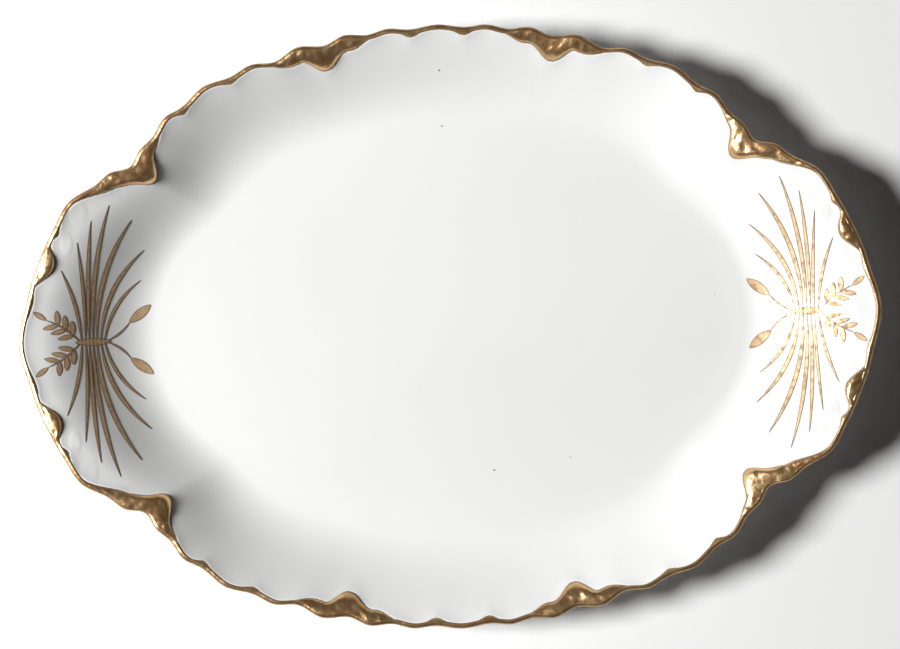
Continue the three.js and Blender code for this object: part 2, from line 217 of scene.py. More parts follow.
def folded(stations):
    """Stations folded back into the first quarter."""
    in_half = np.mod(stations, 2 * QUARTER_STATIONS)
    return np.minimum(in_half, 2 * QUARTER_STATIONS - in_half)


def swellings(stations, listed):
    total = np.zeros(len(stations))
    for middle, depth, before, after in listed:
        offset = (stations - middle) / np.where(stations < middle, before, after)
        total += np.where(np.abs(offset) < 1, depth * MM * 0.5 * (1 + np.cos(np.pi * offset)), 0)
    return total


def lip_width(stations):
    return LIP_WIDTH + swellings(folded(stations), KNUCKLES)


hung = sum(swellings(folded(sections.stations), listed) for listed in CARTOUCHES.values())
gilt_reach = lip_width(sections.stations) + hung
print("the gold reaches in by", np.round([gilt_reach.min() / MM, gilt_reach.max() / MM], 1), "mm")

# %% [markdown]
# ## Growing a shape ring by ring
#
# The body, the foot and the gilt lip all close on themselves. Each starts as a circle, and every
# extrude of its edge adds one more ring, the way a potter pulls a wall up. An extrude copies the
# numbers that are stored on the points, so each point keeps the station that it stands at, and a new
# ring can be laid out exactly after the extrude. Spinning a profile would be quicker but only gives
# round shapes.

# %% Helpers to grow and close rings
SMOOTH_ANGLE = math.radians(60)


def only(piece):
    """Makes one object the selected and active one."""
    bpy.ops.object.select_all(action="DESELECT")
    piece.select_set(True)
    bpy.context.view_layer.objects.active = piece


def lay_ring(mesh, ring):
    """Moves the selected ring of points to its place."""
    shape = bmesh.from_edit_mesh(mesh)
    order = shape.verts.layers.int["order"]
    for point in shape.verts:
        if point.select:
            point.co = ring[point[order]]
    bmesh.update_edit_mesh(mesh)


def grow_rings(name, rings):
    bpy.ops.object.select_all(action="DESELECT")
    bpy.ops.mesh.primitive_circle_add(vertices=len(rings[0]), radius=WELL_WIDTH / 2, fill_type="NOTHING")
    piece = bpy.context.object
    piece.name = name
    piece.data.name = name
    piece.data.attributes.new("order", "INT", "POINT")
    piece.data.attributes["order"].data.foreach_set("value", range(len(rings[0])))
    bpy.ops.object.mode_set(mode="EDIT")
    bpy.ops.mesh.select_mode(type="EDGE")
    bpy.ops.mesh.select_all(action="SELECT")
    lay_ring(piece.data, rings[0])
    for ring in rings[1:]:
        bpy.ops.mesh.extrude_edges_move()
        lay_ring(piece.data, ring)
    return piece


def select_ends():
    """Selects the open edges of the shape in edit mode."""
    bpy.ops.mesh.select_all(action="DESELECT")
    bpy.ops.mesh.select_mode(type="EDGE")
    bpy.ops.mesh.select_non_manifold(extend=False, use_wire=False, use_boundary=True)


def finish_smooth(piece):
    """Turns the faces outward, leaves edit mode and smooths the shading."""
    bpy.ops.mesh.select_all(action="SELECT")
    bpy.ops.mesh.normals_make_consistent(inside=False)
    bpy.ops.object.mode_set(mode="OBJECT")
    only(piece)
    bpy.ops.object.shade_smooth_by_angle(angle=SMOOTH_ANGLE)


print("faces shade as one surface up to", round(math.degrees(SMOOTH_ANGLE)), "degrees")

# %% [markdown]
# ## Porcelain body
#
# The real body is cast or jiggered in one: a gently crowned floor, a cove, the leaning wall and a thin
# scalloped edge. Its underside follows the upper side at the thickness of the wall, down to a flat
# bottom that carries the foot. The rings go from the middle of the floor over the edge to the middle
# of the bottom, and a poked face closes each middle. Near the edge the rings lie closer, because there
# the glaze rises softly towards the moulded border under the gold.

# %% Porcelain body
WALL_THICKNESS, EDGE_THICKNESS = 4 * MM, 2.6 * MM
EDGE_INSET = 0.75 * MM
FLOOR_SHARES, BOTTOM_SHARES = (0.12, 0.3, 0.5, 0.68, 0.82, 0.92), (1, 0.9, 0.5, 0.12)
WALL_RINGS, EDGE_RINGS, UNDERSIDE_RINGS = 36, 6, 14
RING_BUNCHING = 1.6
FILLET_LIFT, FILLET_REACH, FILLET_TUCK = 0.7 * MM, 2.2 * MM, 0.4 * MM


def fillet(depth):
    """Soft rise of the glaze towards the edge of the gold."""
    from_gold = depth - gilt_reach
    reach = np.where(from_gold > 0, FILLET_REACH, FILLET_TUCK)
    return FILLET_LIFT * np.exp(-np.abs(from_gold) / reach)


def underside_point(depth):
    step = 0.01 * MM
    slope = (sections.height(depth + step) - sections.height(depth - step)) / (2 * step)
    part = 1 - depth / sections.run
    thickness = WALL_THICKNESS + (EDGE_THICKNESS - WALL_THICKNESS) * part**2
    lean = np.hypot(1, slope)
    z = np.maximum(sections.height(depth) - thickness / lean, FOOT_HEIGHT)
    return sections.point(depth + slope * thickness / lean, z)


def body_rings():
    rings = []
    for share in FLOOR_SHARES:
        height = np.full(len(sections.run), FLOOR_TOP + FLOOR_CROWN * (1 - share**2))
        rings.append(np.column_stack([sections.well * share, height]))
    edge_round = EDGE_THICKNESS / 3
    top_edge = EDGE_INSET + edge_round
    for i in range(WALL_RINGS + 1):
        depth = top_edge + (sections.run - top_edge) * (1 - i / WALL_RINGS) ** RING_BUNCHING
        rings.append(sections.on_wall(depth, fillet(depth)))
    for i in range(1, EDGE_RINGS):
        turn = math.pi * i / EDGE_RINGS
        depth = top_edge - edge_round * math.sin(turn)
        rings.append(sections.on_wall(depth, -EDGE_THICKNESS * (1 - math.cos(turn)) / 2))
    for i in range(UNDERSIDE_RINGS):
        rings.append(underside_point(top_edge + (sections.run - top_edge) * i / UNDERSIDE_RINGS))
    for share in BOTTOM_SHARES:
        rings.append(np.column_stack([sections.well * share, np.full(len(sections.run), FOOT_HEIGHT)]))
    return rings


porcelain_body = grow_rings("porcelain_body_glazed", body_rings())
select_ends()
bpy.ops.mesh.edge_face_add()
bpy.ops.mesh.select_mode(type="FACE")
bpy.ops.mesh.poke()
finish_smooth(porcelain_body)
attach(porcelain_body, "root")
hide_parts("porcelain_body")
print("porcelain body faces:", len(porcelain_body.data.polygons))

# %% [markdown]
# ## Foot ring
#
# A porcelain dish stands on a low ring that is wiped clean of glaze before firing, or it would stick
# to the kiln shelf. It is a plain oval, narrower at its sole than where it leaves the body, with softly
# rubbed corners. A torus stretched to an oval would be quicker, but its section would be round. The same
# ring growing makes it: each ring is the oval at one point of its section, and a bridge between the first
# and the last ring closes it.

# %% Foot ring
FOOT_INSET, FOOT_WIDTH, FOOT_TAPER, FOOT_ROUND = 15 * MM, 5 * MM, 1.1 * MM, 0.5 * MM
FOOT_STEPS = 240
SOLE = FOOT_WIDTH - FOOT_TAPER
FOOT_SECTION = [
    (0, FOOT_HEIGHT), (FOOT_TAPER * 0.5, FOOT_HEIGHT * 0.5), (FOOT_TAPER * 0.85, FOOT_ROUND),
    (FOOT_TAPER, 0.15 * FOOT_ROUND), (FOOT_TAPER + FOOT_ROUND, 0), (SOLE - FOOT_ROUND, 0),
    (SOLE, 0.15 * FOOT_ROUND), (SOLE + FOOT_TAPER * 0.15, FOOT_ROUND),
    (SOLE + FOOT_TAPER * 0.5, FOOT_HEIGHT * 0.5), (FOOT_WIDTH, FOOT_HEIGHT),
]


def foot_ring_at(inset, z):
    turn = np.arange(FOOT_STEPS) * 2 * math.pi / FOOT_STEPS
    across = np.sin(turn) * (WELL_WIDTH / 2 - FOOT_INSET - inset)
    along = np.cos(turn) * (WELL_LENGTH / 2 - FOOT_INSET - inset)
    return np.column_stack([along, across, np.full(FOOT_STEPS, z)])


foot_ring = grow_rings("foot_ring_bare", [foot_ring_at(inset, z) for inset, z in FOOT_SECTION])
select_ends()
bpy.ops.mesh.bridge_edge_loops()
finish_smooth(foot_ring)
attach(foot_ring, "root")
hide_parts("foot_ring")
print("foot ring faces:", len(foot_ring.data.polygons))

# %% [markdown]
# ## Gilt lip
#
# The edge is gilded over a raised bead about as wide as a matchstick is thick. Where two scallops meet,
# the bead swells into a small knuckle. A curve with a round bevel could give the bead but not the
# knuckles or the flat that hugs the porcelain, so the lip is grown in rings again, one for each point of
# its section. Inside its crest the section follows the wall, outside it rolls over and falls away, and
# its last rings tuck into the porcelain.

# %% Gilt lip
KNUCKLE_LIFT = 0.25
LIP_CREST = 2 * MM
LIP_INSIDE = [(1.2, -0.1), (1, 0.4), (0.8, 0.68), (0.55, 0.83), (0.25, 0.89), (0, 0.9)]
LIP_OUTSIDE = [
    (1.72, 0.03), (1.4, 0.11), (1.1, 0.22), (0.8, 0.36), (0.52, 0.54), (0.28, 0.76), (0.1, 1), (0, 1.4),
    (0.08, 1.9), (0.24, 2.2), (0.6, 2.35), (1, 1.6),
]


def store_border(piece, distances):
    """Keeps how far each point lies from the edge of the gold, in millimetres."""
    border = piece.data.attributes.new("border", "FLOAT", "POINT")
    border.data.foreach_set("value", np.ravel(distances) / MM)


def lip_rings():
    """Rings of the lip and how far each lies in from the rim. Knuckles only stretch the inner side."""
    width = lip_width(sections.stations)
    swell = 1 + KNUCKLE_LIFT * (width - LIP_WIDTH) / LIP_WIDTH
    depths = [LIP_CREST + (width - LIP_CREST) * share for share, _ in LIP_INSIDE]
    rings = [sections.on_wall(depth, lift * MM * swell) for depth, (_, lift) in zip(depths, LIP_INSIDE)]
    crest = rings[-1][:, 2]
    for depth, drop in LIP_OUTSIDE:
        depths.append(np.full_like(width, depth * MM))
        rings.append(sections.point(depths[-1], crest - drop * MM))
    return rings, np.array(depths)


lip_points, lip_depths = lip_rings()
gilt_lip = grow_rings("gilt_lip_bead", lip_points)
select_ends()
bpy.ops.mesh.bridge_edge_loops()
finish_smooth(gilt_lip)
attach(gilt_lip, "root")
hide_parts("gilt_lip")
print("gilt lip faces:", len(gilt_lip.data.polygons))

# %% [markdown]
# ## Gilt cartouches
#
# Twelve wide scrolls hang from the lip: raised cushions with a rounded outline and shallow dents, where
# the gold mirrors the room in patches. A cushion is highest near its scrolled edge and leans outward from
# there, and at its outer end it rises to the crest of the lip, so that the gold runs on without a seam.
# A sculpted cushion would look as good, but one worked out from the wall follows every change of size.

# %% Shape of a cartouche
CARTOUCHE_STEPS, CARTOUCHE_ROWS, ROW_BUNCHING = 32, 22, 1.6
LEAST_SWELLING, TUCK = 0.12 * MM, 0.7 * MM
PAD_LIFT, PAD_ROUND, PAD_SEAT = 0.65 * MM, 1 * MM, 0.15 * MM
CUSHION_SHARES, CUSHION_LEAN = {"side": 0.24, "corner": 0.24, "end": 0.33}, 0.6
LIP_MEETING, MEETING_START = 0.45 * MM, 0.3
DENT_SIZE, DENT_DEPTH, DENT_START = 3.6 * MM, 0.55 * MM, 0.2


def pad_lift(from_edge, depth, cushion_share):
    """Height of a cartouche of some depth above the wall, at a distance from its scrolled edge."""
    bead = np.clip(from_edge / PAD_ROUND, 0, 1)
    part = from_edge / depth
    cushion = cushion_share * depth * np.sin(np.pi * part**CUSHION_LEAN)
    meeting = LIP_MEETING * smooth_step(part, MEETING_START, 1) * smooth_step(depth, TUCK, 2 * PAD_ROUND)
    return PAD_LIFT * np.sqrt(1 - (1 - bead) ** 2) + cushion + meeting - PAD_SEAT


def dents(plan):
    """Smooth uneven dents at points of the plan."""
    spots = np.column_stack([plan / DENT_SIZE, np.zeros(len(plan))])
    return DENT_DEPTH * np.array([min(0, noise.noise(Vector(spot)) - DENT_START) for spot in spots])


def cartouche_points(kind, quarter_index):
    """Rows of points from the scrolled edge outward, and their distances from that edge."""
    listed = CARTOUCHES[kind]
    first = min(middle - before for middle, _, before, _ in listed)
    last = max(middle + after for middle, _, _, after in listed)
    stations = np.linspace(first, last, round((last - first) * CARTOUCHE_STEPS) + 1)
    stations = stations[swellings(stations, listed) > LEAST_SWELLING]
    turned = quarter_index % 2
    start = (quarter_index + turned) * QUARTER_STATIONS
    strip = Sections(start - stations if turned else start + stations)
    hanging = swellings(stations, listed)
    inner, depth = lip_width(strip.stations) + hanging, hanging + TUCK
    rows, border = [], []
    for share in np.linspace(0, 1, CARTOUCHE_ROWS + 1) ** ROW_BUNCHING:
        from_edge = depth * share
        plan = strip.point(inner - from_edge, 0)[:, :2]
        uneven = dents(plan) * smooth_step(from_edge, 0, 2 * PAD_ROUND)
        lift = pad_lift(from_edge, depth, CUSHION_SHARES[kind]) + uneven
        rows.append(strip.on_wall(inner - from_edge, lift))
        border.append(from_edge)
    return np.array(rows), np.array(border)


print("moulds for the cartouches:", list(CARTOUCHES))

# %% [markdown]
# ## Making the cartouches
#
# Each cartouche starts as a flat grid, whose points move to the rows and stations that the last cell
# works out, and a thin wall closes it underneath. Sculpting them one by one would give twelve different
# scrolls, where the real ones come from one mould. The border that is stored on the points lets the gold
# darken along its edges, partly as the thin fired edge and partly as painted shade, and the lip gets the
# same border, so that no line shows between the two.

# %% Making the cartouches
QUARTERS = ["back_right", "front_right", "front_left", "back_left"]
PAD_THICKNESS, THIN_SMOOTH_ANGLE = 0.25 * MM, math.radians(50)
OUTER_EDGE_GAIN = 2.2


def make_cartouche(name, points, border):
    rows, columns = border.shape
    bpy.ops.object.select_all(action="DESELECT")
    bpy.ops.mesh.primitive_grid_add(x_subdivisions=columns - 1, y_subdivisions=rows - 1, size=WELL_WIDTH)
    piece = bpy.context.object
    piece.name = name
    piece.data.name = name
    piece.data.vertices.foreach_set("co", points.reshape(-1))
    piece.data.update()
    store_border(piece, border)
    bpy.ops.object.mode_set(mode="EDIT")
    bpy.ops.mesh.select_all(action="SELECT")
    bpy.ops.mesh.normals_make_consistent(inside=False)
    bpy.ops.object.mode_set(mode="OBJECT")
    if piece.data.polygons[len(piece.data.polygons) // 2].normal.z < 0:
        piece.data.flip_normals()
    wall = piece.modifiers.new("wall", "SOLIDIFY")
    wall.thickness = PAD_THICKNESS
    bpy.ops.object.modifier_apply(modifier="wall")
    bpy.ops.object.shade_smooth_by_angle(angle=THIN_SMOOTH_ANGLE)
    return piece


cartouches = []
for kind in CARTOUCHES:
    for quarter_index, where in enumerate(QUARTERS):
        node = f"gilt_{kind}_cartouche_{where}"
        cartouche = make_cartouche(node + "_scroll", *cartouche_points(kind, quarter_index))
        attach(cartouche, "root")
        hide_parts(node)
        cartouches.append(cartouche)
# The lip darkens along its outer shoulder too, as painted shade; along its inner edge the line is partly the
# thin fired gold and partly painted shade.
store_border(gilt_lip, np.minimum(gilt_reach - lip_depths, OUTER_EDGE_GAIN * lip_depths))
print("cartouches:", len(cartouches), "faces each:", [len(one.data.polygons) for one in cartouches[::4]])

# %% [markdown]
# ## Gilt sprays
#
# Each end wall carries a spray of grass and leaves, brushed on in gold. A brush stroke is a slim bowed
# leaf that is widest in its middle, and half a spray is listed stroke by stroke, each with its start, its
# end, its bow and its width. The other half is its mirror. Curves drawn by hand would look freer, but
# a list is easier to change.

# %% Strokes of a spray
BLADES = [
    ((0.385, 0.002), (0.1, 0.2), -3.5, 1.5), ((0.412, 0.002), (0.06, 0.3), -5, 1.9),
    ((0.439, 0.002), (0.13, 0.4), -5, 2.1), ((0.466, 0.002), (0.28, 0.45), -3, 1.9),
    ((0.493, 0.002), (0.42, 0.4), -1.2, 1.7), ((0.52, 0.002), (0.53, 0.33), 0.5, 1.4),
    ((0.547, 0.002), (0.66, 0.24), 1.5, 1.5),
]
SPRIG_STEM = ((0.56, 0.002), (0.79, 0.078), 1.2, 1)
BUD_STEM = ((0.37, 0.002), (0.2, 0.06), 1, 1)
TIE = ((0.34, 0), (0.59, 0), 0, 4)
SPRIG_LEAVES, BARE_TIP_STEPS = 3, 1.4
LEAF_LENGTH_SHARE, LEAF_WIDTH_SHARE, LEAF_SPREAD = 1.7, 0.62, math.radians(50)
BUD_LENGTH, BUD_WIDTH = 13, 4.6
STROKE_STEPS, STROKE_ROWS = 28, 4
TIP_SHARE, STROKE_FULLNESS = 0.06, 0.8
ABOVE = 60 * MM


def on_end_wall(shares):
    outward, sideways = shares
    return np.array([(WELL_LENGTH + (LENGTH - WELL_LENGTH) * outward) / 2, sideways * WIDTH / 2])


class Stroke:
    """A bowed brush stroke, drawn flat."""

    def __init__(self, start, end, bow, width):
        self.start, self.end, self.bow, self.width = start, end, bow * MM, width * MM
        self.along = (end - start) / np.linalg.norm(end - start)
        self.across = np.array((-self.along[1], self.along[0]))

    def at(self, part):
        return self.start + (self.end - self.start) * part + self.across * 4 * self.bow * part * (1 - part)

    def mirrored(self):
        flip = np.array((1, -1))
        return Stroke(self.start * flip, self.end * flip, -self.bow / MM, self.width / MM)

    def points(self, turn):
        rows, border = [], []
        for share in np.linspace(-1, 1, STROKE_ROWS + 1):
            for part in np.linspace(0, 1, STROKE_STEPS + 1):
                swell = math.sin(math.pi * part) ** STROKE_FULLNESS
                half = self.width * (TIP_SHARE + (0.5 - TIP_SHARE) * swell)
                spot = turn * (self.at(part) + self.across * half * share)
                rows.append((*spot, ABOVE))
                border.append(half * (1 - abs(share)))
        return np.array(rows), border


def spray_strokes():
    listed = [*BLADES, SPRIG_STEM, BUD_STEM]
    drawn = [Stroke(on_end_wall(a), on_end_wall(b), bow, width) for a, b, bow, width in listed]
    sprig, bud_stem = drawn[-2:]
    leaf_steps = SPRIG_LEAVES + BARE_TIP_STEPS
    leaf_step = np.linalg.norm(sprig.end - sprig.start) / leaf_steps / MM
    leaf_length, leaf_width = LEAF_LENGTH_SHARE * leaf_step, LEAF_WIDTH_SHARE * leaf_step
    for i in range(1, SPRIG_LEAVES + 1):
        for side in (-1, 1):
            lean = math.atan2(sprig.along[1], sprig.along[0]) + side * LEAF_SPREAD
            root = sprig.at(i / leaf_steps)
            tip = root + leaf_length * MM * np.array((math.cos(lean), math.sin(lean)))
            drawn.append(Stroke(root, tip, 0, leaf_width))
    for stem, length, width in ((sprig, leaf_length, leaf_width), (bud_stem, BUD_LENGTH, BUD_WIDTH)):
        drawn.append(Stroke(stem.end, stem.end + stem.along * length * MM, 0, width))
    tie = Stroke(on_end_wall(TIE[0]), on_end_wall(TIE[1]), *TIE[2:])
    return drawn + [one.mirrored() for one in drawn] + [tie]


print("strokes in a spray:", len(spray_strokes()))

# %% [markdown]
# ## Laying the sprays on the glaze
#
# Every stroke is a small grid bent along its middle line, flat above the platter. The strokes are joined,
# dropped straight down onto the glaze by a shrinkwrap, and given the thickness of a raised paste. Painting
# them into the glaze by its material would keep them flat, and they would not catch the light at their
# edges.

# %% Laying the sprays on the glaze
STROKE_SEAT, STROKE_THICKNESS = 0.02 * MM, 0.16 * MM


def make_spray(name, turn):
    grids = []
    for stroke in spray_strokes():
        bpy.ops.object.select_all(action="DESELECT")
        steps = {"x_subdivisions": STROKE_STEPS, "y_subdivisions": STROKE_ROWS}
        bpy.ops.mesh.primitive_grid_add(size=LIP_WIDTH, **steps)
        grids.append(bpy.context.object)
        points, border = stroke.points(turn)
        grids[-1].data.vertices.foreach_set("co", points.reshape(-1))
        grids[-1].data.update()
        store_border(grids[-1], border)
    only(grids[0])
    for grid in grids:
        grid.select_set(True)
    bpy.ops.object.join()
    spray = bpy.context.object
    spray.name = name
    spray.data.name = name
    drop = spray.modifiers.new("drop", "SHRINKWRAP")
    drop.target = porcelain_body
    drop.wrap_method = "PROJECT"
    drop.use_project_z = True
    drop.use_positive_direction = False
    drop.use_negative_direction = True
    drop.offset = STROKE_SEAT
    bpy.ops.object.modifier_apply(modifier="drop")
    paste = spray.modifiers.new("paste", "SOLIDIFY")
    paste.thickness = STROKE_THICKNESS
    paste.offset = 1
    bpy.ops.object.modifier_apply(modifier="paste")
    bpy.ops.object.shade_smooth_by_angle(angle=THIN_SMOOTH_ANGLE)
    return spray


sprays = []
for side, turn in (("right", 1), ("left", -1)):
    spray = make_spray(f"gilt_spray_{side}_brushed", turn)
    sprays.append(spray)
    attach(spray, "root")
    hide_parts(f"gilt_spray_{side}")
    print("spray faces:", len(spray.data.polygons))

# %% [markdown]
# ## Writing finishes as sums
#
# A finish is a net of shader nodes, and its sums are easier to read as plain expressions. A Wire wraps
# one socket, and adding or multiplying wires adds the Math nodes. The nodes could also be added and linked
# one by one, which is how a node editor shows them, but that hides what is being worked out.

# %% One socket in a sum


class Wire:
    """One output socket that can be used in sums."""

    def __init__(self, finish, socket):
        self.finish, self.socket = finish, socket

    def sum(self, operation, first, second):
        return self.finish.node("ShaderNodeMath", {"operation": operation}, {0: first, 1: second})

    def __add__(self, other):
        return self.sum("ADD", self, other)

    def __sub__(self, other):
        return self.sum("SUBTRACT", self, other)

    def __rsub__(self, other):
        return self.sum("SUBTRACT", other, self)

    def __mul__(self, other):
        return self.sum("MULTIPLY", self, other)

    __radd__, __rmul__ = __add__, __mul__

    def size(self):
        return self.sum("ABSOLUTE", self, 0)

    def between(self, low, high):
        """0 at low and below, 1 at high and above, smooth in between."""
        sockets = {"Value": self, "From Min": low, "From Max": high}
        return self.finish.node("ShaderNodeMapRange", {"interpolation_type": "SMOOTHSTEP"}, sockets)


print("sums on sockets are written with", Wire.__name__)

# %% [markdown]
# ## One finish at a time
#
# A Finish owns one material, or the world, and makes every node by one method: its type, its settings and
# what its sockets get. Constants go straight to the shader's own sockets, and only what changes over
# a surface is fed by a wire. Patterns are read in Object coordinates, so they stay where they are when
# the platter is moved.

# %% One finish at a time


class Finish:
    """The nodes of one material, or of the world."""

    def __init__(self, owner, shader="Principled BSDF", **constants):
        self.owner = owner
        owner.use_nodes = True
        self.nodes, self.links = owner.node_tree.nodes, owner.node_tree.links
        self.shader = self.nodes[shader]
        for socket, value in constants.items():
            self.shader.inputs[socket.replace("_", " ")].default_value = value

    @property
    def place(self):
        return self.node("ShaderNodeTexCoord", out="Object")

    def node(self, kind, settings=(), sockets=(), out=0):
        made = self.nodes.new(kind)
        for name, value in dict(settings).items():
            setattr(made, name, value)
        for name, value in dict(sockets).items():
            if isinstance(value, Wire):
                self.links.new(value.socket, made.inputs[name])
            else:
                made.inputs[name].default_value = value
        return Wire(self, made.outputs[out])

    def noise(self, scale, detail=2):
        sockets = {"Vector": self.place, "Scale": scale, "Detail": detail}
        return self.node("ShaderNodeTexNoise", {}, sockets, "Fac")

    def mix(self, mask, first, second):
        """Colour that goes from the first to the second as the mask goes from 0 to 1."""
        sockets = {"Factor": mask, 6: first, 7: second}
        return self.node("ShaderNodeMix", {"data_type": "RGBA"}, sockets, 2)

    def bump(self, height, strength, distance, below=None):
        sockets = {"Height": height, "Strength": strength, "Distance": distance}
        if below:
            sockets["Normal"] = below
        return self.node("ShaderNodeBump", {}, sockets)

    def feed(self, **wires):
        for socket, wire in wires.items():
            self.links.new(wire.socket, self.shader.inputs[socket.replace("_", " ")])

    def put_on(self, *pieces):
        for piece in pieces:
            piece.data.materials.clear()
            piece.data.materials.append(self.owner)


print("finishes are made with", Finish.__name__)

# %% [markdown]
# ## White glaze
#
# Old porcelain is not pure white: the glaze is a little grey, holds a few iron specks from the kiln,
# and its shine is broken by fine wear from knives and washing. The colour drifts slowly between a
# warmer and a cooler grey-white over the dish, and a very low bump makes reflections waver as they do
# on fired glaze. Two soft lobes are pressed into each shoulder of the ends, so faint that a bump is
# enough. A picture could carry all of this, but noise has no seams and needs no file.

# %% White glaze
PORCELAIN, PORCELAIN_COOL, IRON_SPECK = (0.83, 0.835, 0.82, 1), (0.81, 0.82, 0.81, 1), (0.25, 0.21, 0.17, 1)
LOBES, LOBE_HEIGHT = [(172.5, 61, 4.2, 6.4), (178.5, 47, 2.8, 5.8)], 0.12 * MM
SPECK_CELLS_PER_METRE, SPECK_RADIUS, SPECK_CHANCE, SPECK_FADE = 55, 0.032, 0.015, 0.01
DRIFT_PER_METRE, WEAR_PER_METRE, WAVER_PER_METRE, WAVER_HEIGHT = 7, 160, 28, 1 * MM


def embossed(glaze):
    """Soft lobes pressed into the four shoulders of the ends."""
    spot = {"Vector": glaze.place}
    along, across = (glaze.node("ShaderNodeSeparateXYZ", {}, spot, axis).size() for axis in "XY")
    height = 0
    for x, y, half_along, half_across in LOBES:
        u, v = (along - x * MM) * (1 / (half_along * MM)), (across - y * MM) * (1 / (half_across * MM))
        height = height + (1 - (u * u + v * v).between(0.2, 1.4))
    return height


def white_glaze():
    glaze = Finish(bpy.data.materials.new("white_glaze"), IOR=1.5)
    drift = glaze.noise(DRIFT_PER_METRE, 3).between(0.35, 0.65)
    tint = glaze.mix(drift, PORCELAIN, PORCELAIN_COOL)
    cells = {"Vector": glaze.place, "Scale": SPECK_CELLS_PER_METRE}
    near = glaze.node("ShaderNodeTexVoronoi", {"voronoi_dimensions": "2D"}, cells, "Distance")
    chance = glaze.node("ShaderNodeTexVoronoi", {"voronoi_dimensions": "2D"}, cells, "Color")
    red = glaze.node("ShaderNodeSeparateColor", {}, {"Color": chance}, "Red")
    rare = 1 - red.between(SPECK_CHANCE, SPECK_CHANCE + SPECK_FADE)
    speck = rare * (1 - near.between(SPECK_RADIUS * 0.6, SPECK_RADIUS))
    wear = glaze.noise(WEAR_PER_METRE, 6).between(0.5, 0.75)
    lobes = glaze.bump(embossed(glaze), 1, LOBE_HEIGHT)
    glaze.feed(
        Base_Color=glaze.mix(speck, tint, IRON_SPECK),
        Roughness=0.1 + 0.1 * wear + 0.06 * drift,
        Normal=glaze.bump(glaze.noise(WAVER_PER_METRE, 2), 0.12, WAVER_HEIGHT, lobes),
    )
    return glaze


white_glaze().put_on(porcelain_body)
print("glaze on", porcelain_body.name)

# %% [markdown]
# ## Bare sole
#
# Without glaze the fired clay is matt, warmer and slightly gritty, and it darkens with dirt where the
# foot rubs on the table. The dirt could be painted on by hand, but then it would have to be painted again
# after every change of shape. Here height picks out the sole, and fine noise gives the grit.

# %% Bare sole
BISQUE, BISQUE_DIRT = (0.70, 0.65, 0.57, 1), (0.42, 0.37, 0.31, 1)
GRIT_PER_METRE, GRIT_HEIGHT = 900, 0.2 * MM
RUBBING_PER_METRE, RUBBED_HEIGHT = 90, 1.2 * MM


def bare_bisque():
    bisque = Finish(bpy.data.materials.new("bare_bisque"), IOR=1.5)
    grit = bisque.noise(GRIT_PER_METRE, 3)
    height = bisque.node("ShaderNodeSeparateXYZ", {}, {"Vector": bisque.place}, "Z")
    patches = bisque.noise(RUBBING_PER_METRE, 4).between(0.4, 0.65)
    rubbed = (1 - height.between(0, RUBBED_HEIGHT)) * patches
    bisque.feed(
        Base_Color=bisque.mix(rubbed * 0.7, BISQUE, BISQUE_DIRT),
        Roughness=0.7 + 0.2 * grit,
        Normal=bisque.bump(grit, 0.25, GRIT_HEIGHT),
    )
    return bisque


bare_bisque().put_on(foot_ring)
print("bisque on", foot_ring.name)

# %% [markdown]
# ## Burnished gold
#
# The gilding is fired gold that was rubbed bright by hand. It lies on uneven relief, so it mirrors the
# room in soft patches, and handling has dulled and browned it in places. Along its edges the colour is
# darkened to a fine red-brown line: partly the thin fired gold where it ends on the glaze, partly painted
# shade for the dark room that the rounded edge mirrors. Metal alone would go black wherever it mirrors
# the dark room, so a small share of the colour scatters light as worn gold does.

# %% Burnished gold
GOLD, BROWN_GOLD, PALE_GOLD, RED_GROUND_AND_PAINTED_SHADE = (
    (0.88, 0.53, 0.25, 1), (0.47, 0.24, 0.11, 1), (0.97, 0.69, 0.37, 1), (0.09, 0.04, 0.025, 1))
PATCHES_PER_METRE, DULLING_PER_METRE = 190, 45
HAMMERING_PER_METRE, HAMMERED_HEIGHT = 380, 0.5 * MM
RUBBED_GRAIN_PER_METRE, RUBBED_GRAIN_HEIGHT = 2600, 0.1 * MM
RED_LINE_AND_SHADE_MM = 1.1


def gold_edge(gold, width):
    """1 on the edge of the gold, 0 from the given width in millimetres inward."""
    border = gold.node("ShaderNodeAttribute", {"attribute_name": "border"}, out="Fac")
    return 1 - border.between(0, width)


def burnished_gold():
    gold = Finish(bpy.data.materials.new("burnished_gold"))
    patch = gold.noise(PATCHES_PER_METRE, 3).between(0.35, 0.7)
    dulled = gold.noise(DULLING_PER_METRE, 4).between(0.45, 0.7)
    worn = gold.mix(dulled * 0.6, gold.mix(patch, GOLD, PALE_GOLD), BROWN_GOLD)
    # The edge line is partly the thin fired gold and partly painted shade where the rounded edge mirrors the
    # dark room.
    edge = gold_edge(gold, RED_LINE_AND_SHADE_MM)
    hammered = gold.bump(gold.noise(HAMMERING_PER_METRE, 2), 0.55, HAMMERED_HEIGHT)
    gold.feed(
        Base_Color=gold.mix(edge * 0.8, worn, RED_GROUND_AND_PAINTED_SHADE),
        Metallic=(0.98 - 0.06 * dulled) * (1 - 0.25 * edge),
        Roughness=0.31 + 0.08 * dulled + 0.05 * patch + 0.08 * edge,
        Normal=gold.bump(gold.noise(RUBBED_GRAIN_PER_METRE, 3), 0.1, RUBBED_GRAIN_HEIGHT, hammered),
    )
    return gold


burnished_gold().put_on(gilt_lip, *cartouches)
print("gold on", 1 + len(cartouches), "pieces")

# %% [markdown]
# ## Brushed gold
#
# The sprays are painted with a finer, thinner gold that was burnished less. It is redder at its thin
# places, where the brush ran dry, and the edge of each stroke has fired to a brown line. One gold for
# border and sprays would be simpler, but this one is duller, so it shows its own colour even where the
# glaze beside it glares.

# %% Brushed gold
BRUSH_GOLD, DRY_GOLD, BROWN_LINE = (0.64, 0.44, 0.25, 1), (0.42, 0.28, 0.16, 1), (0.15, 0.085, 0.05, 1)
DRYING_PER_METRE, BROWN_LINE_MM = 380, 0.5
BRUSH_GRAIN_PER_METRE, BRUSH_GRAIN_HEIGHT = 1500, 0.15 * MM


